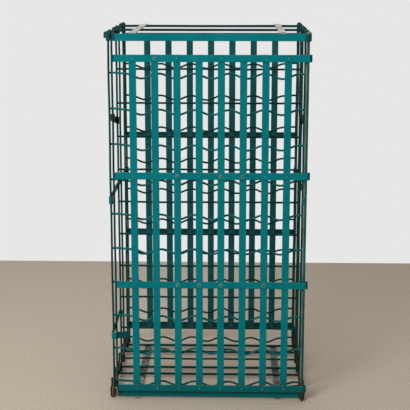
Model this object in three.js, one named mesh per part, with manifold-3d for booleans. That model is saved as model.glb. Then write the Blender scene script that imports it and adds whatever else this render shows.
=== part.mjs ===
// A lockable wine cage of flat steel strip and round wire, in millimetres, +Z up.
// X runs along the front, Y runs from the door to the back, and the cage stands on Z = 0.
// While it is built, X = 0 is midway between the side walls and Y = 0 is the front pair of uprights.
import * as THREE from "three";
import { mergeVertices } from "three/addons/utils/BufferGeometryUtils.js";
import Module from "manifold-3d";

// Stock: every flat piece is cut from one strip, every shelf wire and upright from one wire.
const stripWidth = 20;
const stripThickness = 2.5;
const wireDiameter = 6;
const fitGap = 0.35;

// Cage
const cageWidth = 545;
const cageHeight = 1060;
const cageDepth = 470;
const frontUprightDepths = [0, 82, 206];
const rearUprightInsets = [180, 58];
const headHookLength = 11;
const footHookLength = 45;

// Shelves
const rowCount = 10;
const bottomRowHeight = 43;
const topRowDrop = 117;
const bottlesPerRow = 5;
const waveInset = 30;
const waveHeight = 14;
const dipShift = 12;
const rearWaveDrop = 9;
const wireEndRise = 9;
const wireHookAngle = 45;

// Top and base panels
const frontCrossWireDepths = [166, 222];
const rearCrossWireInsets = [108, 46];
const baseCrossWireInset = 4;
const panelStripInset = 66.5;
const panelStripOverhang = 8;

// Back panel
const backStripCount = 7;
const backStripInset = 70;
const backLowBarHeights = [65, 386];
const backHighBarDrops = [353, 37];

// Door and its hinge rod
const doorStripCount = 8;
const doorStripPitch = 61;
const doorStripShift = 8;
const doorLowBarHeights = [38, 351];
const doorHighBarDrops = [393, 66];
const hingeRodDiameter = 6.5;
const hingeRodOffset = 3;
const hingeRodForward = 14;
const hingePlay = 1.2;
const hingeLoopReach = 3.8;
const hingeLoopNeck = 4;
const hingeTailLength = 40;

// Left ends of the bars across the front, bent back
const barLeftInset = 10.5;
const barLipRadius = 5;
const barLipLength = 3;

// Straps on the side walls
const sideStrapHeight = 592;
const lockStrapHeight = 191;
const lockFaceWidth = 4;
const lockTailReach = 46.5;
const lockTailBend = 5;

// Rivets
const rivetDiameter = 9;
const rivetHead = 1.5;

// Facets: sides of the round sections, and how finely the bends are stepped
const wireSides = 6;
const shelfWireSides = 5;
const rivetSides = 6;
const rodSides = 12;
const hookSteps = 5;
const stripBendAngle = 30;
const stepsPerDip = 6;
const weldDistance = 1e-4;

// Places worked out from the sizes above
const wireRadius = wireDiameter / 2;
const halfThickness = stripThickness / 2;
const halfStrip = stripWidth / 2;
const wallX = cageWidth / 2;
const wireSeat = wireDiameter + fitGap;
const strapSeat = wireRadius + fitGap + halfThickness;
const hookHalfStep = Math.PI / (2 * hookSteps);
const hookRadius = strapSeat / Math.cos(hookHalfStep);
const wireFlat = wireRadius * Math.cos(Math.PI / wireSides);
const strapX = wallX + hookRadius;
const baseBottom = strapSeat + wireFlat * Math.cos(hookHalfStep);
const topBottom = cageHeight - stripWidth;
const fromTop = (drop) => cageHeight - drop;
const rowPitch = (fromTop(topRowDrop) - bottomRowHeight) / (rowCount - 1);
const bottlePitch = (cageWidth - 2 * waveInset) / bottlesPerRow;
const panelStripX = wallX - panelStripInset;
const backStripPitch = (cageWidth - 2 * backStripInset) / (backStripCount - 1);
const backBarHeights = [...backLowBarHeights, ...backHighBarDrops.map(fromTop)];
const doorBarHeights = [...doorLowBarHeights, ...doorHighBarDrops.map(fromTop)];
const doorStripCentres = Array.from(
  { length: doorStripCount },
  (_, i) => doorStripShift + (i - (doorStripCount - 1) / 2) * doorStripPitch,
);
const barLeftEdge = -wallX + barLeftInset;
const lockTailEnd = -wallX + lockTailReach;
const fromBack = (inset) => cageDepth - inset;
const uprightDepths = [...frontUprightDepths, ...rearUprightInsets.map(fromBack)];
const crossWireDepths = [...frontCrossWireDepths, ...rearCrossWireInsets.map(fromBack)];
const panelStripEnd = Math.max(...crossWireDepths) + panelStripOverhang;
const [frontUprightY, , middleUprightY, , rearUprightY] = uprightDepths;
const backUprightY = cageDepth;
const frontBarY = frontUprightY - hookRadius - stripThickness - fitGap;
const hingeX = wallX + hingeRodOffset;
const hingeY = frontUprightY - hingeRodForward;
const hingeLoopRadius = hingeRodDiameter / 2 + hingePlay + halfThickness;
const hingeEyeRadius = frontBarY - hingeY;
const doorBarY = hingeY - hingeLoopRadius;
const doorStripY = doorBarY + stripThickness + fitGap;
const backBarY = backUprightY + wireRadius;

const paint = { color: 0x05706e, roughness: 0.5, metalness: 0.1 };
const darkPaint = { color: 0x1f4a45, roughness: 0.55, metalness: 0.1 };

const wasm = await Module();
wasm.setup();

// A bent wire's centre line: one cross-section stands at each of its points.
class Route extends THREE.Curve {
  constructor(points) {
    super();
    this.points = points;
  }
  at(u) {
    return this.points[Math.round(u * (this.points.length - 1))];
  }
  getPoint(u) {
    return this.at(u).clone();
  }
  getPointAt(u) {
    return this.at(u).clone();
  }
  getTangentAt(u) {
    const last = this.points.length - 1;
    const i = Math.round(u * last);
    const here = this.points[i];
    const before = this.points[Math.max(i - 1, 0)];
    const after = this.points[Math.min(i + 1, last)];
    const incoming = here.clone().sub(before).normalize();
    const outgoing = after.clone().sub(here).normalize();
    return incoming.add(outgoing).normalize();
  }
}

// Round wire along a list of points, with a flat of its many-sided section turned to the bends.
function wire(points, diameter, sides = wireSides) {
  const section = [];
  for (let i = 0; i < sides; i++) {
    const angle = (i * 2 * Math.PI) / sides;
    section.push(new THREE.Vector2(Math.cos(angle), Math.sin(angle)).multiplyScalar(diameter / 2));
  }
  const route = new Route(points);
  return new THREE.ExtrudeGeometry(new THREE.Shape(section), {
    steps: points.length - 1,
    extrudePath: route,
  });
}

// Flat strip on edge, bent along a list of plan points, standing from a bottom height.
function bentStrip(points, bottom) {
  const left = [];
  const right = [];
  points.forEach((point, i) => {
    const before = points[Math.max(i - 1, 0)];
    const after = points[Math.min(i + 1, points.length - 1)];
    const incoming = point.clone().sub(before).normalize();
    const outgoing = after.clone().sub(point).normalize();
    const tangent = incoming.clone().add(outgoing).normalize();
    const cosHalf = tangent.dot(i ? incoming : outgoing);
    const side = new THREE.Vector2(-tangent.y, tangent.x).multiplyScalar(halfThickness / cosHalf);
    left.push(point.clone().add(side));
    right.unshift(point.clone().sub(side));
  });
  const strip = new THREE.ExtrudeGeometry(new THREE.Shape([...left, ...right]), {
    depth: stripWidth,
    bevelEnabled: false,
  });
  return strip.translate(0, 0, bottom);
}

// Points of an arc from one angle to another, in degrees.
function arc(x, y, radius, from, to, steps = Math.round(Math.abs(to - from) / stripBendAngle)) {
  const points = [];
  for (let i = 0; i <= steps; i++) {
    const angle = THREE.MathUtils.degToRad(from + ((to - from) * i) / steps);
    points.push(new THREE.Vector2(x + radius * Math.cos(angle), y + radius * Math.sin(angle)));
  }
  return points;
}

function block(x0, x1, y0, y1, z0, z1) {
  const box = new THREE.BoxGeometry(x1 - x0, y1 - y0, z1 - z0);
  return box.translate((x0 + x1) / 2, (y0 + y1) / 2, (z0 + z1) / 2);
}

function solid(geometry) {
  const bare = geometry.index ? geometry.toNonIndexed() : geometry.clone();
  bare.deleteAttribute("normal");
  bare.deleteAttribute("uv");
  const merged = mergeVertices(bare, weldDistance);
  return new wasm.Manifold(
    new wasm.Mesh({
      numProp: 3,
      vertProperties: merged.attributes.position.array,
      triVerts: new Uint32Array(merged.index.array),
    }),
  );
}

function geometryOf(manifold) {
  const mesh = manifold.getMesh();
  const geometry = new THREE.BufferGeometry();
  geometry.setAttribute("position", new THREE.BufferAttribute(mesh.vertProperties, 3));
  geometry.setIndex(new THREE.BufferAttribute(mesh.triVerts, 1));
  geometry.computeVertexNormals();
  return geometry;
}

function joined(geometries) {
  return geometryOf(geometries.map(solid).reduce((whole, piece) => whole.add(piece)));
}

// A rivet head on a face of constant Y. It stands out by its head and is sunk into the strip.
function rivet(x, faceY, z, outward) {
  const length = rivetHead + halfThickness;
  const head = new THREE.CylinderGeometry(rivetDiameter / 2, rivetDiameter / 2, length, rivetSides);
  return head.translate(x, faceY + outward * (rivetHead - length / 2), z);
}

const root = new THREE.Group();

function add(parent, name, geometry, finish) {
  const mesh = new THREE.Mesh(geometry, new THREE.MeshStandardMaterial(finish));
  mesh.name = name;
  parent.add(mesh);
  return mesh;
}

// Shelf wires: they pass behind their uprights and turn forward round the outside of them.
function hookedEnd(side, depth, height) {
  const bend = arc(side * wallX, depth, wireSeat, 90, 90 - side * wireHookAngle);
  return bend.map((point) => new THREE.Vector3(point.x, point.y, height));
}

function shelfWire(depth, height, endHeight, middlePoints) {
  const leftEnd = hookedEnd(-1, depth, endHeight).reverse();
  const rightEnd = hookedEnd(1, depth, endHeight);
  const middle = middlePoints.map(
    (point) => new THREE.Vector3(point.x, depth + wireSeat, height + point.y),
  );
  return wire([...leftEnd, ...middle, ...rightEnd], wireDiameter, shelfWireSides);
}

function wavePoints(shift) {
  const count = bottlesPerRow * stepsPerDip;
  const points = [];
  for (let i = 0; i <= count; i++) {
    const dips = i / stepsPerDip;
    const x = shift + (dips - bottlesPerRow / 2) * bottlePitch;
    points.push(new THREE.Vector2(x, (waveHeight / 2) * Math.cos(2 * Math.PI * dips)));
  }
  return points;
}

const shelves = new THREE.Group();
root.add(shelves);
for (let row = 0; row < rowCount; row++) {
  const height = fromTop(topRowDrop) - row * rowPitch;
  const number = String(row + 1).padStart(2, "0");
  const rearHeight = height - rearWaveDrop;
  const front = shelfWire(frontUprightY, height, height + wireEndRise, wavePoints(dipShift));
  const middle = shelfWire(middleUprightY, height, height, []);
  const rear = shelfWire(rearUprightY, rearHeight, rearHeight + wireEndRise, wavePoints(-dipShift));
  add(shelves, `front_wave_wire_${number}`, front, darkPaint);
  add(shelves, `middle_wire_${number}`, middle, darkPaint);
  add(shelves, `rear_wave_wire_${number}`, rear, darkPaint);
}

// Uprights: each is hooked over the top side strap and under the base side strap.
function upright(side, depth) {
  const place = (point) => new THREE.Vector3(side * (strapX - point.x), depth, point.y);
  const footBend = arc(0, baseBottom, hookRadius, 180, 360, hookSteps);
  const headBend = arc(0, cageHeight, hookRadius, 0, 180, hookSteps);
  const footTip = new THREE.Vector2(-hookRadius, baseBottom + footHookLength);
  const headTip = new THREE.Vector2(-hookRadius, cageHeight - headHookLength);
  return wire([footTip, ...footBend, ...headBend, headTip].map(place), wireDiameter);
}

const walls = new THREE.Group();
root.add(walls);
for (const [wall, side] of [["left", -1], ["right", 1]]) {
  uprightDepths.forEach((depth, i) => {
    add(walls, `${wall}_upright_${i + 1}`, upright(side, depth), darkPaint);
  });
}

// A strap along a side wall, looped round the front upright.
function wallStrap(side, radius, backEnd, bottom) {
  const front = arc(wallX, frontUprightY, radius, 0, -180);
  const points = [...backEnd, ...front].map((point) => point.setX(side * point.x));
  return bentStrip(side > 0 ? points : points.reverse(), bottom);
}

// Side straps at mid height, looped round the back uprights as well.
for (const [wall, side] of [["left", -1], ["right", 1]]) {
  const back = arc(wallX, backUprightY, strapSeat, 180, 0);
  const strap = wallStrap(side, strapSeat, back, sideStrapHeight - halfStrip);
  add(walls, `${wall}_side_strap`, strap, paint);
}

// Lock strap: hooked on the third upright, bent round the front one, with a tail set back beside it.
const lockHook = arc(-wallX, middleUprightY, strapSeat, 0, 180);
const lockFaceX = -wallX + lockFaceWidth;
const lockBend = [
  ...arc(-wallX, frontUprightY, strapSeat, 180, 270),
  ...arc(lockFaceX, frontUprightY, strapSeat, 270, 360),
];
const lockTurnX = lockFaceX + strapSeat + lockTailBend;
const lockTurn = arc(lockTurnX, frontUprightY, lockTailBend, 180, 90).slice(1);
const lockEnd = new THREE.Vector2(lockTailEnd, frontUprightY + lockTailBend);
const lockRoute = [...lockHook, ...lockBend, ...lockTurn, lockEnd];
add(walls, "lock_strap", bentStrip(lockRoute, lockStrapHeight - halfStrip), paint);

// The left end of a bar across the front, bent back.
function lippedEnd(barY) {
  const centre = new THREE.Vector2(barLeftEdge + barLipRadius, barY + barLipRadius);
  const tip = new THREE.Vector2(barLeftEdge, centre.y + barLipLength);
  return [tip, ...arc(centre.x, centre.y, barLipRadius, 180, 270)];
}

// Top and base panels: front bar with an eye for the hinge rod, side straps, cross wires, two flat strips.
function panel(bottom, crossHeight, stripBottom) {
  const eye = arc(hingeX, hingeY, hingeEyeRadius, 90, -150);
  const backEnd = backBarY + halfThickness;
  const pieces = [bentStrip([...lippedEnd(frontBarY), ...eye], bottom + fitGap)];
  for (const side of [-1, 1]) {
    pieces.push(wallStrap(side, hookRadius, [new THREE.Vector2(strapX, backEnd)], bottom));
    const left = side * panelStripX - halfStrip;
    const stripTop = stripBottom + stripThickness;
    pieces.push(block(left, left + stripWidth, frontBarY, panelStripEnd, stripBottom, stripTop));
  }
  for (const depth of crossWireDepths) {
    const ends = [-strapX, strapX].map((x) => new THREE.Vector3(x, depth, crossHeight));
    pieces.push(wire(ends, wireDiameter));
  }
  return joined(pieces);
}

// The top strips lie on the front bar's upper edge and on the cross wires, the base strips under them.
const stripSink = halfThickness / 2;
const topStripBottom = topBottom + fitGap + stripWidth - stripSink;
const topCross = topStripBottom - wireFlat + stripSink;
const baseCross = baseBottom + baseCrossWireInset;
const baseStripBottom = baseCross - wireFlat + stripSink - stripThickness;
add(root, "top_panel", panel(topBottom, topCross, topStripBottom), paint);
add(root, "base_panel", panel(baseBottom, baseCross, baseStripBottom), paint);

// Back panel: bars outside, strips inside, and the two back uprights that the bars are fixed to.
const backPieces = [upright(-1, backUprightY), upright(1, backUprightY)];
const backLow = backBarHeights[0] - halfStrip;
const backHigh = backBarHeights[backBarHeights.length - 1] + halfStrip;
const backStripY = backBarY - stripThickness + fitGap;
for (const height of backBarHeights) {
  const low = height - halfStrip;
  const end = wallX + wireRadius;
  const front = backBarY - halfThickness;
  backPieces.push(block(-end, end, front, front + stripThickness, low, low + stripWidth));
}
for (let i = 0; i < backStripCount; i++) {
  const x = (i - (backStripCount - 1) / 2) * backStripPitch;
  const front = backStripY - halfThickness;
  backPieces.push(block(x - halfStrip, x + halfStrip, front, front + stripThickness, backLow, backHigh));
  for (const height of backBarHeights) {
    backPieces.push(rivet(x, backBarY + halfThickness, height, 1));
  }
}
add(root, "back_panel", joined(backPieces), paint);

// Hinge rod: held in the eyes of the top and base panels, with its foot on the floor.
const hingeRod = new THREE.CylinderGeometry(hingeRodDiameter / 2, hingeRodDiameter / 2, cageHeight, rodSides);
hingeRod.rotateX(Math.PI / 2).translate(hingeX, hingeY, cageHeight / 2);
add(root, "hinge_rod", hingeRod, darkPaint);

// Door: four riveted bars, each rolled into a loop round the hinge rod, with the strips behind them.
// The loop's tail slants back to lie behind its own bar.
const door = new THREE.Group();
root.add(door);
const doorBarRoute = [
  ...lippedEnd(doorBarY),
  ...arc(hingeX + hingeLoopReach, hingeY, hingeLoopRadius, -90, 90),
  new THREE.Vector2(hingeX - hingeLoopNeck, hingeY + hingeLoopRadius),
  new THREE.Vector2(hingeX - hingeTailLength, doorStripY),
];
doorBarHeights.forEach((height, i) => {
  const bar = bentStrip(doorBarRoute, height - halfStrip);
  const heads = doorStripCentres.map((x) => rivet(x, doorBarY - halfThickness, height, -1));
  add(door, `door_bar_${i + 1}`, joined([bar, ...heads]), paint);
});
const doorLow = doorBarHeights[0] - halfStrip;
const doorHigh = doorBarHeights[doorBarHeights.length - 1] + halfStrip;
doorStripCentres.forEach((x, i) => {
  const front = doorStripY - halfThickness;
  const back = doorStripY + halfThickness;
  const strip = block(x - halfStrip, x + halfStrip, front, back, doorLow, doorHigh);
  add(door, `door_strip_${i + 1}`, strip, paint);
});

// The origin is midway across and midway back, on the floor.
const middle = new THREE.Box3().setFromObject(root).getCenter(new THREE.Vector3());
root.position.set(-middle.x, -middle.y, 0);

export default root;
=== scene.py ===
import math

import bpy
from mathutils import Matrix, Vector


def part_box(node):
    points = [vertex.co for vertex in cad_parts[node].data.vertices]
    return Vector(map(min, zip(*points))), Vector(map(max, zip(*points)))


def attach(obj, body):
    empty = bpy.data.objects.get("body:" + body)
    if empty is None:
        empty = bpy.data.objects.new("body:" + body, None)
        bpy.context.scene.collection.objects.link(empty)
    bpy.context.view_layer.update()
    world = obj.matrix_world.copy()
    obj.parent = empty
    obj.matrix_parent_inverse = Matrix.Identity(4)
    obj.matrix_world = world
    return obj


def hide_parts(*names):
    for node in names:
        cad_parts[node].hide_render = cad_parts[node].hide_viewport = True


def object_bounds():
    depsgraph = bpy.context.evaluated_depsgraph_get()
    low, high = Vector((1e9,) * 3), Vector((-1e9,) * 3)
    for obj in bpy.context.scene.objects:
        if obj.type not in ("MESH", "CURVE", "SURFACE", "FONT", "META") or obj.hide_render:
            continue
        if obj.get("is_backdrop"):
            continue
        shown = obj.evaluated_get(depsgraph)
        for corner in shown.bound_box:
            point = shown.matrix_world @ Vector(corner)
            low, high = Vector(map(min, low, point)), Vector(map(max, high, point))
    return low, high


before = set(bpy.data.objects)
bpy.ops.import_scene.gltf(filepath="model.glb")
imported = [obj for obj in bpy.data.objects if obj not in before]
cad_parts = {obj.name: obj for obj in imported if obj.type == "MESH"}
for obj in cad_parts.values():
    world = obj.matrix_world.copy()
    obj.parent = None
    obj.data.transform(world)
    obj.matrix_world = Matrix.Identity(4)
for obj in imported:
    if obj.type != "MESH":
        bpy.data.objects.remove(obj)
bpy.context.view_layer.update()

# The viewpoint: a long lens at chest height, a little right of the door's middle, looking slightly down.
# The lens and the place were worked out from the cage's own edges.
sensor_mm = 36.0
lens_mm = 95.9
camera_place = (0.0712, -3.2371, 1.2470)
camera_pitch = math.radians(12.474)
camera_yaw = math.radians(1.50)
camera_data = bpy.data.cameras.new("viewpoint")
camera_data.sensor_width = sensor_mm
camera_data.lens = lens_mm
camera = bpy.data.objects.new("viewpoint", camera_data)
camera.location = camera_place
camera.rotation_euler = (math.pi / 2 - camera_pitch, 0, camera_yaw)
scene = bpy.context.scene
scene.collection.objects.link(camera)
scene.camera = camera
scene.view_settings.view_transform = "Standard"


# The stage: a plain pale floor that turns to a pale wall tone a metre behind the cage, under soft light.
# The tone of the wall is shown to the camera and to reflections only, so it throws no light on the cage.
class Value:
    """One socket of a node tree. Sums written with it become Math nodes in that tree."""

    def __init__(self, plan, socket):
        self.plan = plan
        self.socket = socket

    def math(self, operation, *others):
        return self.plan.node("ShaderNodeMath", {"operation": operation}, dict(enumerate((self, *others))))

    def __add__(self, other):
        return self.math("ADD", other)

    __radd__ = __add__

    def __sub__(self, other):
        return self.math("SUBTRACT", other)

    def __rsub__(self, other):
        return self.math("MULTIPLY_ADD", -1, other)

    def __mul__(self, other):
        return self.math("MULTIPLY", other)

    __rmul__ = __mul__

    def __truediv__(self, other):
        return self.math("DIVIDE", other)

    def rise(self, low, high):
        """0 below low, 1 above high, with a smooth step between."""
        spans = {"Value": self, "From Min": low, "From Max": high}
        return self.plan.node("ShaderNodeMapRange", {"interpolation_type": "SMOOTHSTEP"}, spans)

    def output(self, name):
        """Another output of the node that this value comes from."""
        return Value(self.plan, self.socket.node.outputs[name])


class Plan:
    """A node tree being drawn up."""

    def __init__(self, tree):
        self.tree = tree
        tree.nodes.clear()

    def node(self, kind, settings, inputs, output=0):
        made = self.tree.nodes.new(kind)
        for name, setting in settings.items():
            setattr(made, name, setting)
        for name, value in inputs.items():
            if isinstance(value, Value):
                self.tree.links.new(value.socket, made.inputs[name])
            else:
                made.inputs[name].default_value = value
        return Value(self, made.outputs[output] if made.outputs else None)

    def mix(self, factor, first, second):
        """The first colour where the factor is 0, the second where it is 1."""
        factor_socket, first_colour, second_colour, mixed_colour = 0, 6, 7, 2
        mixed = {factor_socket: factor, first_colour: first, second_colour: second}
        return self.node("ShaderNodeMix", {"data_type": "RGBA"}, mixed, mixed_colour)

    def noise(self, spot, scale, detail):
        return self.node("ShaderNodeTexNoise", {}, {"Vector": spot, "Scale": scale, "Detail": detail})


def shown_to_eye(plan):
    """1 for what the camera and reflections see, 0 for the light that falls on things."""
    rays = plan.node("ShaderNodeLightPath", {}, {}, "Is Camera Ray")
    return rays.math("MAXIMUM", rays.output("Is Glossy Ray"))


wall_tone = (0.80, 0.80, 0.79, 1)
wall_start = 1.27
floor_tone = (0.515, 0.437, 0.345, 1)
floor_speck = (0.43, 0.362, 0.285, 1)
floor_reach = 9.0
floor_corners = [(x * floor_reach, y * floor_reach, 0) for x, y in ((-1, -1), (1, -1), (1, 1), (-1, 1))]

floor_mesh = bpy.data.meshes.new("floor")
floor_mesh.from_pydata(floor_corners, [], [(0, 1, 2, 3)])
floor = bpy.data.objects.new("floor", floor_mesh)
scene.collection.objects.link(floor)
floor_finish = bpy.data.materials.new("pale_floor")
floor_finish.use_nodes = True
plan = Plan(floor_finish.node_tree)
spot = plan.node("ShaderNodeTexCoord", {}, {}, "Object")
specks = plan.noise(spot, scale=150.0, detail=2.0)
tone = plan.mix(specks.rise(0.38, 0.62), floor_speck, floor_tone)
matt = plan.node("ShaderNodeBsdfPrincipled", {}, {"Base Color": tone, "Roughness": 0.85})
wall = plan.node("ShaderNodeEmission", {}, {"Color": wall_tone, "Strength": 1.0})
distance = plan.node("ShaderNodeSeparateXYZ", {}, {"Vector": spot}, "Y")
beyond = distance.math("GREATER_THAN", wall_start) * shown_to_eye(plan)
surface = plan.node("ShaderNodeMixShader", {}, {0: beyond, 1: matt, 2: wall})
plan.node("ShaderNodeOutputMaterial", {}, {"Surface": surface})
floor_mesh.materials.append(floor_finish)
floor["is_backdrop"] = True

sky = bpy.data.worlds.new("studio")
sky.use_nodes = True
scene.world = sky
plan = Plan(sky.node_tree)
glow = plan.node("ShaderNodeBackground", {}, {"Color": (1, 1, 1, 1), "Strength": 0.24})
backdrop = plan.node("ShaderNodeBackground", {}, {"Color": wall_tone, "Strength": 1.0})
view = plan.node("ShaderNodeMixShader", {}, {0: shown_to_eye(plan), 1: glow, 2: backdrop})
plan.node("ShaderNodeOutputWorld", {}, {"Surface": view})


def soft_lamp(name, place, aim, size, power):
    lamp = bpy.data.lights.new(name, "AREA")
    lamp.shape = "DISK"
    lamp.size = size
    lamp.energy = power
    holder = bpy.data.objects.new(name, lamp)
    holder.location = place
    holder.rotation_euler = (Vector(aim) - Vector(place)).to_track_quat("-Z", "Y").to_euler()
    scene.collection.objects.link(holder)


soft_lamp("key", place=(-1.7, -2.9, 2.3), aim=(0, 0, 0.6), size=1.6, power=105.0)
soft_lamp("fill", place=(1.8, -3.6, 1.4), aim=(0, 0, 0.5), size=2.2, power=5.0)
soft_lamp("top", place=(-0.3, 0.4, 3.4), aim=(0, 0, 0.5), size=2.4, power=45.0)


# Top and base panels. Each is a bar and two straps of flat steel strip on edge, four cross wires between the
# straps, and two flat strips on the outer side of the wires. One end of the bar is bent back, the other is
# rolled into an eye for the hinge rod. Both ends and the straps carry painted shade, dark teal on top and
# the rusty finish on the base.
strip_width = 0.020
strip_thickness = 0.0025
wire_diameter = 0.006
fit_gap = 0.00035
hook_radius = (wire_diameter + strip_thickness) / 2 + fit_gap


def new_tree(name, inputs):
    """An empty tree with named inputs. Gives its plan and the first of those inputs."""
    tree = bpy.data.node_groups.new(name, "GeometryNodeTree")
    for label, kind in inputs.items():
        tree.interface.new_socket(name=label, in_out="INPUT", socket_type="NodeSocket" + kind)
    tree.interface.new_socket(name="Shape", in_out="OUTPUT", socket_type="NodeSocketGeometry")
    plan = Plan(tree)
    return tree, plan, plan.node("NodeGroupInput", {}, {}, "Places")


def handled(plan, given, pieces):
    """Stock that was bent by hand: it runs a little out of true, the same way as what lies beside it."""
    noise_middle = (0.5, 0.5, 0.5)
    spot = plan.node("GeometryNodeInputPosition", {}, {})
    bow = plan.node("ShaderNodeTexNoise", {}, {"Vector": spot, "Scale": 7.0, "Detail": 1.0}, "Color")
    centred = plan.node("ShaderNodeVectorMath", {"operation": "SUBTRACT"}, {0: bow, 1: noise_middle})
    amount = {0: centred, 1: given.output("Unevenness")}
    shift = plan.node("ShaderNodeVectorMath", {"operation": "MULTIPLY"}, amount)
    return plan.node("GeometryNodeSetPosition", {}, {"Geometry": pieces, "Offset": shift})


def painted(plan, given, pieces):
    """Round faces are shaded smooth, corners stay crisp, and the finish goes on."""
    crisp_from = math.radians(32)
    smooth = plan.node("GeometryNodeSetShadeSmooth", {"domain": "FACE"}, {"Geometry": pieces})
    corner = plan.node("GeometryNodeInputMeshEdgeAngle", {}, {}).math("GREATER_THAN", crisp_from)
    crisp = {"Geometry": smooth, "Selection": corner, "Shade Smooth": False}
    shaded = plan.node("GeometryNodeSetShadeSmooth", {"domain": "EDGE"}, crisp)
    coat = {"Geometry": shaded, "Material": given.output("Finish")}
    shape = plan.node("GeometryNodeSetMaterial", {}, coat)
    plan.node("NodeGroupOutput", {}, {"Shape": shape})


def bent_stock(name, normals, section):
    """Stock of one section, bent along a route, with a copy on each place."""
    steps_in_bend = 9
    kinds = {"Places": "Geometry", "Route": "Object", "Width": "Float", "Thickness": "Float", "Cuts": "Int",
             "Step": "Float", "Roll": "Float", "Unevenness": "Vector", "Finish": "Material"}
    tree, plan, given = new_tree(name, kinds)
    drawn = {"Object": given.output("Route")}
    line = plan.node("GeometryNodeObjectInfo", {"transform_space": "ORIGINAL"}, drawn, "Geometry")
    corner_radius = plan.node("GeometryNodeInputRadius", {}, {})
    bends = {"Curve": line, "Count": steps_in_bend, "Radius": corner_radius}
    bent = plan.node("GeometryNodeFilletCurve", {"mode": "POLY"}, bends)
    run = plan.node("GeometryNodeSplineParameter", {}, {}, "Length")
    following = {"Value": run, "Index": plan.node("GeometryNodeInputIndex", {}, {}) + 1}
    ahead = plan.node("GeometryNodeFieldAtIndex", {"data_type": "FLOAT"}, following)
    cuts = ((ahead - run) / given.output("Step")).math("MAXIMUM", 0)
    stepped = plan.node("GeometryNodeSubdivideCurve", {}, {"Curve": bent, "Cuts": cuts})
    upright = plan.node("GeometryNodeSetCurveNormal", {"mode": normals}, {"Curve": stepped})
    rolled = plan.node("GeometryNodeSetCurveTilt", {}, {"Curve": upright, "Tilt": given.output("Roll")})
    sweep = {"Curve": rolled, "Profile Curve": section(plan, given), "Fill Caps": True}
    stock = plan.node("GeometryNodeCurveToMesh", {}, sweep)
    turn = plan.node("GeometryNodeInputNamedAttribute", {"data_type": "FLOAT"}, {"Name": "turn"})
    spin = plan.node("ShaderNodeCombineXYZ", {}, {"Z": turn})
    aim = plan.node("FunctionNodeEulerToRotation", {}, {"Euler": spin})
    standing = {"Points": given, "Instance": stock, "Rotation": aim}
    copies = plan.node("GeometryNodeInstanceOnPoints", {}, standing)
    pieces = plan.node("GeometryNodeRealizeInstances", {}, {"Geometry": copies})
    painted(plan, given, handled(plan, given, pieces))
    return tree


def flat_section(plan, given):
    """A rectangle with its corners eased. Each point notes how near it lies to the strip's edge."""
    eased_share = 0.24
    sides = {"Width": given.output("Thickness"), "Height": given.output("Width")}
    plain = plan.node("GeometryNodeCurvePrimitiveQuadrilateral", {"mode": "RECTANGLE"}, sides)
    corners = {"Curve": plain, "Count": 1, "Radius": given.output("Thickness") * eased_share}
    eased = plan.node("GeometryNodeFilletCurve", {"mode": "POLY"}, corners)
    cut = plan.node("GeometryNodeSubdivideCurve", {}, {"Curve": eased, "Cuts": given.output("Cuts")})
    spot = plan.node("GeometryNodeInputPosition", {}, {})
    across = plan.node("ShaderNodeSeparateXYZ", {}, {"Vector": spot}, "Y").math("ABSOLUTE")
    note = {"Geometry": cut, "Name": "edge", "Value": across * 2 / given.output("Width")}
    return plan.node("GeometryNodeStoreNamedAttribute", {"data_type": "FLOAT"}, note)


def round_section(plan, given):
    circle = {"Resolution": 14, "Radius": given.output("Width") / 2}
    return plan.node("GeometryNodeCurvePrimitiveCircle", {"mode": "RADIUS"}, circle)


def route(name, corners):
    """A line of corner points, each with the radius of its bend."""
    line = bpy.data.curves.new(name, "CURVE")
    line.dimensions = "3D"
    spline = line.splines.new("POLY")
    spline.points.add(len(corners) - 1)
    for point, (x, y, z, bend) in zip(spline.points, corners):
        point.co = (x, y, z, 1)
        point.radius = bend
    holder = bpy.data.objects.new(name, line)
    scene.collection.objects.link(holder)
    return holder


def places(name, points=((0, 0, 0),), turns=None):
    """Points for copies to stand on, each with its own turn about the vertical."""
    mesh = bpy.data.meshes.new(name)
    mesh.from_pydata(points, [], [])
    angles = mesh.attributes.new("turn", "FLOAT", "POINT")
    angles.data.foreach_set("value", turns or [0.0] * len(points))
    holder = bpy.data.objects.new(name, mesh)
    scene.collection.objects.link(holder)
    return holder


def formed(holder, tree, inputs, body, replaced=()):
    """Runs a tree on its places, keeps the plain mesh, and hangs the piece on its body."""
    maker = holder.modifiers.new("maker", "NODES")
    maker.node_group = tree
    for item in tree.interface.items_tree:
        if item.in_out == "INPUT" and item.name in inputs:
            maker[item.identifier] = inputs[item.name]
    graph = bpy.context.evaluated_depsgraph_get()
    made = holder.evaluated_get(graph)
    mesh = bpy.data.meshes.new_from_object(made, preserve_all_data_layers=True, depsgraph=graph)
    holder.modifiers.clear()
    holder.data = mesh
    if "Route" in inputs:
        bpy.data.objects.remove(inputs["Route"])
    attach(holder, body)
    if replaced:
        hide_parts(*replaced)


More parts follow.
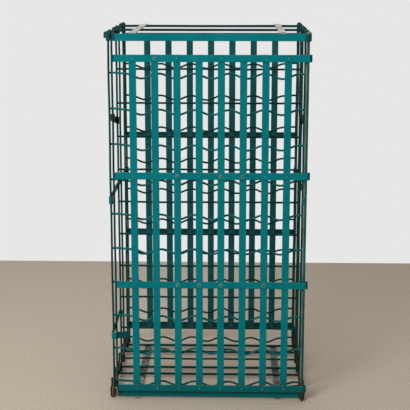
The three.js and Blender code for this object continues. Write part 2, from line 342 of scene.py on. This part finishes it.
def enamel(name, coat, faded, gloss, chipping, dusting_and_top_light, rusting):
    """Brushed enamel on mild steel: it fades in clouds, chips at edges, holds dust and a painted top
    highlight, and rusts low down.
    """
    bare_steel = (0.30, 0.29, 0.26, 1)
    dark_rust = (0.016, 0.011, 0.008, 1)
    bright_rust = (0.085, 0.042, 0.018, 1)
    low_tone = (0.006, 0.048, 0.036, 1)
    low_tone_share = 0.52
    dust_and_highlight_tone = (0.36, 0.35, 0.31, 1)
    edge_start = 0.86
    edge_chipping = 0.22
    chip_softness = 0.06
    rust_start = 1.12
    rust_full = 1.45
    rust_share = 0.8
    lowness_full_below = 0.020
    lowness_gone_above = 0.110
    steep_slope = 0.35
    level_slope = 0.95
    clean_roughness = 0.30
    finish = bpy.data.materials.new(name)
    finish.use_nodes = True
    plan = Plan(finish.node_tree)
    spot = plan.node("ShaderNodeTexCoord", {}, {}, "Object")
    clouds = plan.noise(spot, scale=16.0, detail=4.0)
    grain = plan.noise(spot, scale=240.0, detail=4.0)
    flecks = plan.noise(spot, scale=95.0, detail=5.0)
    edge = plan.node("ShaderNodeAttribute", {"attribute_name": "edge"}, {}, "Fac")
    facing = plan.node("ShaderNodeNewGeometry", {}, {}, "Normal")
    up = plan.node("ShaderNodeSeparateXYZ", {}, {"Vector": facing}, "Z")
    height = plan.node("ShaderNodeSeparateXYZ", {}, {"Vector": spot}, "Z")
    # Towards the bottom the colour turns a darker green, and the steel rusts more there.
    lowness = 1 - height.rise(lowness_full_below, lowness_gone_above)
    tone = plan.mix((clouds * 0.7 + grain * 0.3).rise(0.32, 0.68), coat, faded)
    low_toned = plan.mix(lowness * low_tone_share, tone, low_tone)
    wear = (edge.rise(edge_start, 1.0) * edge_chipping + flecks).rise(chipping, chipping + chip_softness)
    rust = plan.mix(grain.rise(0.35, 0.65), dark_rust, bright_rust)
    chipped = plan.mix(wear, low_toned, plan.mix(clouds.rise(0.42, 0.58), bare_steel, rust))
    rusty = (lowness * rusting + flecks).rise(rust_start, rust_full) * rust_share
    weathered = plan.mix(rusty, chipped, rust)
    # Upward faces pale with dust and with a painted highlight where the top light falls.
    dust_and_highlight_patches = (grain * 0.5 + clouds * 0.6).rise(0.35, 0.75)
    dust_and_top_highlight = up.rise(steep_slope, level_slope) * dust_and_highlight_patches * dusting_and_top_light
    colour = plan.mix(dust_and_top_highlight, weathered, dust_and_highlight_tone)
    sheen = clean_roughness + clouds * 0.16 + wear * 0.3 + rusty * 0.3 + dust_and_top_highlight * 0.25
    relief = grain * 0.35 + flecks * 0.3 - wear * 0.8
    bump = plan.node("ShaderNodeBump", {}, {"Height": relief, "Distance": 0.00018, "Strength": 0.5})
    coated = {"Base Color": colour, "Roughness": sheen, "Normal": bump, "Specular IOR Level": gloss}
    surface = plan.node("ShaderNodeBsdfPrincipled", {}, coated)
    plan.node("ShaderNodeOutputMaterial", {}, {"Surface": surface})
    return finish


teal_enamel = enamel("teal_enamel", coat=(0.001, 0.150, 0.172, 1), faded=(0.002, 0.184, 0.204, 1),
                     gloss=0.03, chipping=0.80, dusting_and_top_light=0.2, rusting=0.5)
wire_enamel = enamel("wire_enamel", coat=(0.001, 0.024, 0.024, 1), faded=(0.002, 0.046, 0.045, 1),
                     gloss=0.03, chipping=0.78, dusting_and_top_light=0.04, rusting=0.55)
rusty_enamel = enamel("rusty_enamel", coat=(0.003, 0.036, 0.036, 1), faded=(0.007, 0.062, 0.060, 1),
                      gloss=0.05, chipping=0.76, dusting_and_top_light=0.1, rusting=0.95)
cream_coat = enamel("worn_cream_coat", coat=(0.46, 0.44, 0.39, 1), faded=(0.22, 0.20, 0.155, 1),
                    gloss=0.1, chipping=0.60, dusting_and_top_light=0.0, rusting=0.4)
stained_coat = enamel("stained_cream_coat", coat=(0.19, 0.25, 0.225, 1), faded=(0.045, 0.038, 0.024, 1),
                      gloss=0.2, chipping=0.52, dusting_and_top_light=0.0, rusting=0.3)
# A dark teal that is painted shade, for the bent ends, eyes, loops and top straps.
painted_shade_teal = enamel("dull_teal_enamel", coat=(0.002, 0.050, 0.052, 1), faded=(0.004, 0.075, 0.076, 1),
                   gloss=0.05, chipping=0.78, dusting_and_top_light=0.1, rusting=0.5)

bent_strip = bent_stock("bent_strip", "Z_UP", flat_section)
bent_wire = bent_stock("bent_wire", "MINIMUM_TWIST", round_section)
cage_unevenness = (0.0030, 0.0030, 0.0015)
strip_stock = {"Width": strip_width, "Thickness": strip_thickness, "Cuts": 1, "Step": 0.020,
               "Finish": teal_enamel}
wire_stock = {"Width": wire_diameter, "Step": 0.015, "Unevenness": cage_unevenness, "Finish": wire_enamel}
on_its_face = math.pi / 2


def strips(holder, corners, body, replaced=(), **changes):
    """Pieces of the flat strip, all bent along one route. What differs from the plain stock is named."""
    inputs = {**strip_stock, "Route": route(holder.name + "_route", corners), **changes}
    formed(holder, bent_strip, inputs, body, replaced)


def wires(holder, corners, replaced=(), **changes):
    """Pieces of round wire or rod for the cage, all bent along one route."""
    inputs = {**wire_stock, "Route": route(holder.name + "_route", corners), **changes}
    formed(holder, bent_wire, inputs, "cage", replaced)


x_axis, y_axis, z_axis = range(3)


def middle_of(node, axis):
    """The middle of a solid's box along one axis."""
    low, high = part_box(node)
    return (low[axis] + high[axis]) / 2


left_strap = middle_of("left_upright_1", x_axis)
right_strap = middle_of("right_upright_1", x_axis)
front_y = middle_of("left_upright_1", y_axis)
front_loop_y = front_y - hook_radius
front_bar_y = front_loop_y - strip_thickness - fit_gap
rod_low, rod_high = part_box("hinge_rod")
hinge = (rod_low + rod_high) / 2
eye_radius = front_bar_y - hinge.y
eye_left = hinge.x - eye_radius
eye_right = hinge.x + eye_radius
eye_front = hinge.y - eye_radius
bar_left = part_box("door_bar_4")[0].x + strip_thickness / 2
lip_radius = 0.005
lip_length = 0.003
# The bent-back end of each front bar is its own piece, carrying painted shade.
shaded_end_length = 0.009
bar_start = bar_left + shaded_end_length
strap_lap = 0.004
cross_depths = (0.166, 0.222, 0.362, 0.424)
flat_strip_inset = 0.0713
flat_strip_overhang = 0.008
flat_end = front_y + cross_depths[-1] + flat_strip_overhang

for panel, outwards, shade_and_rust_finish, flat_finish, cross_inset, cross_width in (
    ("top", 1, painted_shade_teal, cream_coat, 0.0015, 0.004),
    ("base", -1, rusty_enamel, stained_coat, 0.004, 0.0075),
):
    low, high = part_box(panel + "_panel")
    middle = low.z + strip_width / 2
    bar_corners = [(bar_start, front_bar_y, middle, 0), (hinge.x, front_bar_y, middle, 0)]
    strips(places(panel + "_front_bar"), bar_corners, "cage", [panel + "_panel"])
    lip_corners = [
        (bar_left, front_bar_y + lip_radius + lip_length, middle, 0),
        (bar_left, front_bar_y, middle, lip_radius),
        (bar_start, front_bar_y, middle, 0),
    ]
    strips(places(panel + "_lip"), lip_corners, "cage", Finish=shade_and_rust_finish)
    eye_corners = [
        (hinge.x, front_bar_y, middle, 0),
        (eye_right, front_bar_y, middle, eye_radius),
        (eye_right, eye_front, middle, eye_radius),
        (eye_left, eye_front, middle, eye_radius),
        (eye_left, hinge.y, middle, 0),
    ]
    strips(places(panel + "_eye"), eye_corners, "cage", Finish=shade_and_rust_finish)

    for side, strap_x, inwards in (("left", left_strap, 1), ("right", right_strap, -1)):
        inner_x = strap_x + inwards * 2 * hook_radius
        strap_corners = [
            (strap_x, high.y, middle, 0),
            (strap_x, front_loop_y, middle, hook_radius),
            (inner_x, front_loop_y, middle, hook_radius),
            (inner_x, front_y + strap_lap, middle, 0),
        ]
        strips(places(panel + "_" + side + "_strap"), strap_corners, "cage", Finish=shade_and_rust_finish)

    level = middle + outwards * (strip_width / 2 - cross_inset)
    cross_corners = [(left_strap, 0, level, 0), (right_strap, 0, level, 0)]
    cross_rows = [(0, front_y + depth, 0) for depth in cross_depths]
    wires(places(panel + "_cross_wires", cross_rows), cross_corners, Width=cross_width)

    lie = level + outwards * (cross_width + strip_thickness) / 2
    flat_corners = [(0, front_bar_y, lie, 0), (0, flat_end, lie, 0)]
    flat_spots = [(left_strap + flat_strip_inset, 0, 0), (right_strap - flat_strip_inset, 0, 0)]
    strips(places(panel + "_flat_strips", flat_spots), flat_corners, "cage", Roll=on_its_face,
           Unevenness=cage_unevenness, Finish=flat_finish)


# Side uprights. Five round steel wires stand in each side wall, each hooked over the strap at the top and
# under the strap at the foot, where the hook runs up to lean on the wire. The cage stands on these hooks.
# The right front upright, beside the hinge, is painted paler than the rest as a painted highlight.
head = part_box("top_panel")[0].z + strip_width + wire_diameter / 2 + fit_gap
foot = wire_diameter / 2
hook_length = 0.011
foot_lean_start = 0.028
foot_lean_end = 0.038
foot_lean_radius = 0.006
foot_hook_top = 0.062
foot_hook_side = hook_radius - wire_diameter - fit_gap
upright_corners = [
    (-hook_radius, 0, head - hook_length - hook_radius, 0),
    (-hook_radius, 0, head, hook_radius),
    (hook_radius, 0, head, hook_radius),
    (hook_radius, 0, foot, hook_radius),
    (-hook_radius, 0, foot, hook_radius),
    (-hook_radius, 0, foot_lean_start, foot_lean_radius),
    (foot_hook_side, 0, foot_lean_end, foot_lean_radius),
    (foot_hook_side, 0, foot_hook_top, 0),
]
left_nodes = ["left_upright_" + str(number) for number in range(1, 6)]
right_nodes = ["right_upright_" + str(number) for number in range(1, 6)]
upright_depths = [middle_of(name, y_axis) for name in left_nodes]
# A pale finish that is a painted highlight, for the right front upright.
rubbed_enamel = enamel("rubbed_enamel", coat=(0.060, 0.125, 0.105, 1), faded=(0.185, 0.235, 0.195, 1),
                       gloss=0.1, chipping=0.66, dusting_and_top_light=0.1, rusting=1.3)


def wall_places(name, left_depths, right_depths):
    """Places on the side straps at these depths. Those on the right are turned to face inwards."""
    left = [(left_strap, depth, 0) for depth in left_depths]
    right = [(right_strap, depth, 0) for depth in right_depths]
    return places(name, left + right, [0.0] * len(left) + [math.pi] * len(right))


wires(wall_places("uprights", upright_depths, upright_depths[1:]), upright_corners,
      left_nodes + right_nodes[1:], Finish=rusty_enamel)
wires(wall_places("right_front_upright", [], upright_depths[:1]), upright_corners,
      right_nodes[:1], Finish=rubbed_enamel)


# Side straps. A flat steel strap at mid height binds each wall: it runs along the outside of the uprights
# and is rolled round the front one and the back one.
strap_height = middle_of("left_side_strap", z_axis)
back_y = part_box("left_side_strap")[1].y - strip_thickness / 2 - hook_radius
left_wall = left_strap + hook_radius
right_wall = right_strap - hook_radius
wall_middle = (front_y + back_y) / 2
half_wall = (back_y - front_y) / 2
front_tail = 0.028
loop_corners = [
    (hook_radius, half_wall - strap_lap, strap_height, 0),
    (hook_radius, half_wall + hook_radius, strap_height, hook_radius),
    (-hook_radius, half_wall + hook_radius, strap_height, hook_radius),
    (-hook_radius, -half_wall - hook_radius, strap_height, hook_radius),
    (hook_radius, -half_wall - hook_radius, strap_height, hook_radius),
    (hook_radius, -half_wall + front_tail, strap_height, 0),
]
shaded_teal = enamel("shaded_teal_enamel", coat=(0.002, 0.080, 0.080, 1), faded=(0.006, 0.110, 0.106, 1),
                     gloss=0.1, chipping=0.76, dusting_and_top_light=0.4, rusting=0.5)
strap_spots = [(left_wall, wall_middle, 0), (right_wall, wall_middle, 0)]
strips(places("side_straps", strap_spots, [0.0, math.pi]), loop_corners, "cage",
       ["left_side_strap", "right_side_strap"], Finish=shaded_teal, Unevenness=cage_unevenness)


# Wall ties. High on each wall a short flat steel strap, painted dark as painted shade, slopes down from the
# second upright to the third one and is hooked round both of them.
tie_front_y = upright_depths[1] - hook_radius
tie_back_y = upright_depths[2] + hook_radius
tie_front_height = 0.818
tie_back_height = 0.792
tie_tail = 0.012
# A near-black finish that is painted shade.
painted_shade_dark = enamel("tarnished_enamel", coat=(0.006, 0.018, 0.016, 1), faded=(0.016, 0.044, 0.040, 1),
                   gloss=0.1, chipping=0.76, dusting_and_top_light=0.1, rusting=0.5)
for side, wall_x, inwards in (("left", left_wall, 1), ("right", right_wall, -1)):
    inner = wall_x + inwards * hook_radius
    outer = wall_x - inwards * hook_radius
    tie_corners = [
        (inner, upright_depths[1] + strap_lap, tie_front_height, 0),
        (inner, tie_front_y, tie_front_height, hook_radius),
        (outer, tie_front_y, tie_front_height, hook_radius),
        (outer, tie_back_y, tie_back_height, hook_radius),
        (inner, tie_back_y, tie_back_height, hook_radius),
        (inner, upright_depths[2] - tie_tail, tie_back_height, 0),
    ]
    strips(places(side + "_wall_tie"), tie_corners, "cage", Finish=painted_shade_dark)


# Lock strap. A short flat steel strap low on the left wall, hooked on the third upright and bent round the
# front one. Its tail, painted darker than the rest as painted shade, stands beside the door's edge, where
# the door would be tied or locked to it.
lock_height = middle_of("lock_strap", z_axis)
lock_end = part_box("lock_strap")[1].x
lock_hook_y = upright_depths[2]
lock_inner = left_wall + hook_radius
lock_outer = left_wall - hook_radius
lock_face = 0.004
lock_set_back = 0.005
tail_x = lock_inner + lock_face
tail_y = front_y + lock_set_back
lock_corners = [
    (lock_inner, lock_hook_y - strap_lap, lock_height, 0),
    (lock_inner, lock_hook_y + hook_radius, lock_height, hook_radius),
    (lock_outer, lock_hook_y + hook_radius, lock_height, hook_radius),
    (lock_outer, front_loop_y, lock_height, hook_radius),
    (tail_x, front_loop_y, lock_height, hook_radius),
    (tail_x, front_y, lock_height, 0),
]
lock_tail_corners = [
    (tail_x, front_y, lock_height, 0),
    (tail_x, tail_y, lock_height, hook_radius),
    (lock_end, tail_y, lock_height, 0),
]
# A dark navy teal that is painted shade, for the lock strap's tail.
tail_shade_teal = enamel("navy_teal_enamel", coat=(0.002, 0.040, 0.050, 1), faded=(0.004, 0.058, 0.070, 1),
                   gloss=0.05, chipping=0.78, dusting_and_top_light=0.1, rusting=0.5)
strips(places("lock_hasp"), lock_corners, "cage", ["lock_strap"])
strips(places("lock_hasp_tail"), lock_tail_corners, "cage", Finish=tail_shade_teal)


# Shelf wires. Ten rows of three round steel wires: one waved at the front, one straight in the middle and
# one waved at the back. Each passes behind its pair of uprights and turns a little forward outside them.
def shelf_tree():
    """A wire waved along its length, with both ends turned forward beside their uprights."""
    kinds = {"Places": "Geometry", "Half Width": "Float", "Hook": "Float", "Turn": "Float", "Wave": "Float",
             "Pitch": "Float", "Span": "Float", "Shift": "Float", "End Rise": "Float", "Diameter": "Float",
             "Unevenness": "Vector", "Finish": "Material"}
    settle_from = -0.004
    settle_to = 0.022
    dip_share = -0.5
    tree, plan, given = new_tree("shelf_wire", kinds)
    half_width = given.output("Half Width")
    hook = given.output("Hook")
    turn = given.output("Turn")
    length = half_width + hook * turn
    line = plan.node("GeometryNodeCurvePrimitiveLine", {"mode": "POINTS"}, {"End": (1, 0, 0)})
    fine = plan.node("GeometryNodeResampleCurve", {"mode": "COUNT"}, {"Curve": line, "Count": 260})
    along = plan.node("GeometryNodeSplineParameter", {}, {}, "Factor") * 2 - 1
    run = (along * (math.pi / 2)).math("SINE") * length
    out = run.math("ABSOLUTE")
    bend = ((out - half_width) / hook).math("MAXIMUM", 0).math("MINIMUM", turn)
    reach = out.math("MINIMUM", half_width) + bend.math("SINE") * hook
    x = run.math("SIGN") * reach
    y = bend.math("COSINE") * hook
    from_middle = x - given.output("Shift")
    swing = (from_middle * 2 * math.pi / given.output("Pitch")).math("COSINE")
    wave = swing * given.output("Wave") * dip_share
    past = from_middle.math("ABSOLUTE") - given.output("Span") / 2
    ending = past.rise(settle_from, settle_to)
    z = wave * (1 - ending) + given.output("End Rise") * ending
    path = plan.node("ShaderNodeCombineXYZ", {}, {"X": x, "Y": y, "Z": z})
    shaped = plan.node("GeometryNodeSetPosition", {}, {"Geometry": fine, "Position": path})
    circle = {"Resolution": 10, "Radius": given.output("Diameter") / 2}
    section = plan.node("GeometryNodeCurvePrimitiveCircle", {"mode": "RADIUS"}, circle)
    sweep = {"Curve": shaped, "Profile Curve": section, "Fill Caps": True}
    wire = plan.node("GeometryNodeCurveToMesh", {}, sweep)
    copies = plan.node("GeometryNodeInstanceOnPoints", {}, {"Points": given, "Instance": wire})
    pieces = plan.node("GeometryNodeRealizeInstances", {}, {"Geometry": copies})
    painted(plan, given, handled(plan, given, pieces))
    return tree


shelf_wire = shelf_tree()
row_numbers = [str(number).zfill(2) for number in range(1, 11)]
row_heights = [middle_of("middle_wire_" + number, z_axis) for number in row_numbers]
bottles_in_row = 5
bottle_pitch = 0.097
wave_shift = 0.012
rear_drop = 0.009
shelf_middle = (left_strap + right_strap) / 2
shelf_stock = {"Half Width": shelf_middle - left_wall, "Hook": wire_diameter + fit_gap,
               "Turn": math.radians(18), "Pitch": bottle_pitch, "Span": bottles_in_row * bottle_pitch,
               "Diameter": wire_diameter, "Unevenness": (0.003, 0.003, 0.005), "Finish": wire_enamel}
waved = {"Wave": 0.014, "End Rise": 0.009}
straight = {"Wave": 0.0, "End Rise": 0.0, "Shift": 0.0}
front_wire = enamel("front_wire_enamel", coat=(0.002, 0.082, 0.084, 1), faded=(0.006, 0.125, 0.124, 1),
                    gloss=0.03, chipping=0.78, dusting_and_top_light=0.04, rusting=0.5)
for kind, depth, drop, bends in (
    ("front_wave_wire", upright_depths[0], 0.0, {**waved, "Shift": wave_shift, "Finish": front_wire}),
    ("middle_wire", upright_depths[2], 0.0, straight),
    ("rear_wave_wire", upright_depths[4], rear_drop, {**waved, "Shift": -wave_shift}),
):
    rows = places(kind + "s", [(shelf_middle, depth, height - drop) for height in row_heights])
    row_nodes = [kind + "_" + number for number in row_numbers]
    formed(rows, shelf_wire, {**shelf_stock, **bends}, "cage", row_nodes)


# Back panel. Seven flat steel strips stand inside four flat bars, with a rivet struck through each crossing.
# The ends of the bars are bent round two round uprights, which hook on the side straps as the others do.
back_bar_heights = (0.065, 0.386, 0.707, 1.023)
back_strip_pitch = 0.0675
back_strip_gap = 0.0001
back_strip_spots = [shelf_middle + back_strip_pitch * step for step in range(-3, 4)]
back_bar_y = back_y + hook_radius
back_strip_y = back_bar_y - strip_thickness - back_strip_gap
back_foot = back_bar_heights[0] - strip_width / 2
back_head = back_bar_heights[-1] + strip_width / 2
back_bar_corners = [
    (left_wall - hook_radius, back_y - hook_radius, 0, 0),
    (left_wall - hook_radius, back_bar_y, 0, hook_radius),
    (right_wall + hook_radius, back_bar_y, 0, hook_radius),
    (right_wall + hook_radius, back_y - hook_radius, 0, 0),
]
back_strip_corners = [(0, back_strip_y, back_foot, 0), (0, back_strip_y, back_head, 0)]
# The back panel's darker teals are painted shade, with the bars darkest.
rear_teal = enamel("rear_teal_enamel", coat=(0.004, 0.078, 0.084, 1), faded=(0.008, 0.098, 0.100, 1),
                   gloss=0.1, chipping=0.77, dusting_and_top_light=0.4, rusting=0.5)
rear_shade = enamel("rear_shade_enamel", coat=(0.002, 0.046, 0.044, 1), faded=(0.005, 0.064, 0.060, 1),
                    gloss=0.1, chipping=0.77, dusting_and_top_light=0.4, rusting=0.5)


def rivet_tree():
    """A struck head on each place: a low dome, or a ring with a sunk middle, standing out from its face."""
    kinds = {"Places": "Geometry", "Diameter": "Float", "Height": "Float", "Hollow": "Float",
             "Facing": "Float", "Seed": "Int", "Finish": "Material"}
    sunk_to = 0.30
    sunk_from = 0.62
    smallest = 0.88
    largest = 1.08
    low_socket, high_socket, drawn_number = 2, 3, 1
    tree, plan, given = new_tree("struck_rivets", kinds)
    ball = plan.node("GeometryNodeMeshUVSphere", {}, {"Segments": 16, "Rings": 8, "Radius": 1.0})
    spot = plan.node("GeometryNodeInputPosition", {}, {})
    x = plan.node("ShaderNodeSeparateXYZ", {}, {"Vector": spot}, "X")
    y = x.output("Y")
    z = x.output("Z")
    reach = (x * x + y * y).math("SQRT")
    sunk = (1 - reach.rise(sunk_to, sunk_from)) * given.output("Hollow")
    stands = z * given.output("Height") * (1 - sunk)
    half = given.output("Diameter") / 2
    struck = plan.node("ShaderNodeCombineXYZ", {}, {"X": x * half, "Y": y * half, "Z": stands})
    note = {"Geometry": ball, "Name": "crown", "Value": 1 - reach}
    marked = plan.node("GeometryNodeStoreNamedAttribute", {"data_type": "FLOAT"}, note)
    head = plan.node("GeometryNodeSetPosition", {}, {"Geometry": marked, "Position": struck})
    tilt = plan.node("ShaderNodeCombineXYZ", {}, {"X": given.output("Facing")})
    aim = plan.node("FunctionNodeEulerToRotation", {}, {"Euler": tilt})
    spread = {low_socket: smallest, high_socket: largest, "Seed": given.output("Seed")}
    size = plan.node("FunctionNodeRandomValue", {"data_type": "FLOAT"}, spread, drawn_number)
    standing = {"Points": given, "Instance": head, "Rotation": aim, "Scale": size}
    copies = plan.node("GeometryNodeInstanceOnPoints", {}, standing)
    pieces = plan.node("GeometryNodeRealizeInstances", {}, {"Geometry": copies})
    painted(plan, given, pieces)
    return tree


def struck_finish(name, rim, crown, worn_from):
    """The finish of a rivet head: one tone at the rim and another on the crown, which meet in patches."""
    worn_softness = 0.38
    patchiness = 1.3
    graininess = 0.3
    rim_roughness = 0.5
    crown_polish = 0.12
    finish = bpy.data.materials.new(name)
    finish.use_nodes = True
    plan = Plan(finish.node_tree)
    spot = plan.node("ShaderNodeTexCoord", {}, {}, "Object")
    patches = plan.noise(spot, scale=120.0, detail=2.0)
    grain = plan.noise(spot, scale=600.0, detail=3.0)
    middle = plan.node("ShaderNodeAttribute", {"attribute_name": "crown"}, {}, "Fac")
    uneven = middle + (patches - 0.5) * patchiness + (grain - 0.5) * graininess
    rubbed = uneven.rise(worn_from, worn_from + worn_softness)
    tone = plan.mix(rubbed, rim, crown)
    sheen = rim_roughness - rubbed * crown_polish
    bump = plan.node("ShaderNodeBump", {}, {"Height": grain, "Distance": 0.0002, "Strength": 0.6})
    metal = {"Base Color": tone, "Roughness": sheen, "Normal": bump, "Specular IOR Level": 0.15}
    surface = plan.node("ShaderNodeBsdfPrincipled", {}, metal)
    plan.node("ShaderNodeOutputMaterial", {}, {"Surface": surface})
    return finish


struck_rivets = rivet_tree()
facing_back = -math.pi / 2
facing_front = math.pi / 2
# The rear rivets share the back panel's painted shade.
rear_rivet = struck_finish("rear_rivet_steel", rim=(0.004, 0.085, 0.080, 1), crown=(0.16, 0.20, 0.18, 1),
                           worn_from=0.46)

wires(wall_places("back_uprights", [back_y], [back_y]), upright_corners, ["back_panel"])
strips(places("back_bars", [(0, 0, height) for height in back_bar_heights]), back_bar_corners, "cage",
       Finish=rear_shade)
strips(places("back_strips", [(x, 0, 0) for x in back_strip_spots]), back_strip_corners, "cage",
       Roll=on_its_face, Finish=rear_teal)
back_crossings = [(x, z) for x in back_strip_spots for z in back_bar_heights]
outer_face = back_bar_y + strip_thickness / 2
inner_face = back_strip_y - strip_thickness / 2
outer_heads = {"Diameter": 0.009, "Height": 0.0015, "Facing": facing_back, "Seed": 3, "Finish": rear_rivet}
formed(places("back_rivet_heads", [(x, outer_face, z) for x, z in back_crossings]), struck_rivets,
       outer_heads, "cage")
inner_tails = {"Diameter": 0.006, "Height": 0.0011, "Facing": facing_front, "Seed": 5, "Finish": rear_rivet}
formed(places("back_rivet_tails", [(x, inner_face, z) for x, z in back_crossings]), struck_rivets,
       inner_tails, "cage")


# Hinge rod. A straight round steel rod that stands in the eyes of the two front bars, with its foot on the
# floor. The door hangs on it. Its paint is darker than the bars', and it has rusted where it leaves the
# base.
rod_enamel = enamel("rubbed_rod_enamel", coat=(0.004, 0.058, 0.058, 1), faded=(0.014, 0.095, 0.092, 1),
                    gloss=0.1, chipping=0.74, dusting_and_top_light=0.1, rusting=1.6)
rod_corners = [(hinge.x, hinge.y, rod_low.z, 0), (hinge.x, hinge.y, rod_high.z, 0)]
wires(places("hinge_pin"), rod_corners, ["hinge_rod"], Width=rod_high.x - rod_low.x,
      Unevenness=(0, 0, 0), Finish=rod_enamel)


# Door. Eight flat steel strips hang behind four flat bars, with a rivet struck through each crossing. Each
# bar has its free end bent back and its other end rolled into a long loop that turns on the hinge rod. The
# bent ends and the loops are painted dark teal as painted shade, and some of the rivets are bare.
bar_names = ["door_bar_" + str(number) for number in range(1, 5)]
strip_names = ["door_strip_" + str(number) for number in range(1, 9)]
door_bar_heights = [middle_of(name, z_axis) for name in bar_names]
door_strip_spots = [middle_of(name, x_axis) for name in strip_names]
door_strip_y = middle_of(strip_names[-1], y_axis)
door_low, door_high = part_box(strip_names[-1])
door_bar_y = door_strip_y - strip_thickness - fit_gap
door_face = door_bar_y - strip_thickness / 2
loop_radius = hinge.y - door_bar_y
loop_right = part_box("door_bar_1")[1].x - strip_thickness / 2
loop_start = loop_right - loop_radius
loop_neck = 0.004
loop_tail = 0.040
tail_bend = 0.012
lip_end = bar_left + lip_radius
door_bar_corners = [(lip_end, door_bar_y, 0, 0), (loop_start, door_bar_y, 0, 0)]
door_lip_corners = [
    (bar_left, door_bar_y + lip_radius + lip_length, 0, 0),
    (bar_left, door_bar_y, 0, lip_radius),
    (lip_end, door_bar_y, 0, 0),
]
door_loop_corners = [
    (loop_start, door_bar_y, 0, 0),
    (loop_right, door_bar_y, 0, loop_radius),
    (loop_right, hinge.y + loop_radius, 0, loop_radius),
    (hinge.x - loop_neck, hinge.y + loop_radius, 0, tail_bend),
    (hinge.x - loop_tail, door_strip_y, 0, 0),
]
door_strip_corners = [(0, door_strip_y, door_low.z, 0), (0, door_strip_y, door_high.z, 0)]

# A bare crossing is a bar, counted from below, and a strip, counted from the left. Both counts start at 0.
bare_crossings = {(3, 1), (2, 2), (2, 4), (2, 5), (1, 2), (1, 3), (1, 4), (1, 6)}
painted_spots = []
bare_spots = []
for bar_index, z in enumerate(door_bar_heights):
    for strip_index, x in enumerate(door_strip_spots):
        bare = (bar_index, strip_index) in bare_crossings
        (bare_spots if bare else painted_spots).append((x, door_face, z))
painted_rivet = struck_finish("painted_rivet_steel", rim=(0.001, 0.150, 0.168, 1),
                              crown=(0.22, 0.50, 0.50, 1), worn_from=0.46)
bare_rivet = struck_finish("bare_rivet_brass", rim=(0.17, 0.25, 0.16, 1), crown=(0.006, 0.125, 0.120, 1),
                           worn_from=0.16)
small = {"Diameter": 0.0052, "Height": 0.0015, "Facing": facing_front, "Seed": 7, "Finish": painted_rivet}
formed(places("door_rivets", painted_spots), struck_rivets, small, "door")
large = {"Diameter": 0.0112, "Height": 0.0017, "Hollow": 0.45, "Facing": facing_front, "Seed": 11,
         "Finish": bare_rivet}
formed(places("door_bare_rivets", bare_spots), struck_rivets, large, "door")

bar_spots = [(0, 0, height) for height in door_bar_heights]
strips(places("door_bars", bar_spots), door_bar_corners, "door", bar_names)
# The bent ends and the loops carry painted shade.
strips(places("door_lips", bar_spots), door_lip_corners, "door", Finish=painted_shade_teal)
strips(places("door_loops", bar_spots), door_loop_corners, "door", Finish=painted_shade_teal)
strips(places("door_strips", [(x, 0, 0) for x in door_strip_spots]), door_strip_corners, "door", strip_names,
       Roll=on_its_face)


# The box of the dressed cage, leaving out the backdrop and what is hidden.
low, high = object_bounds()
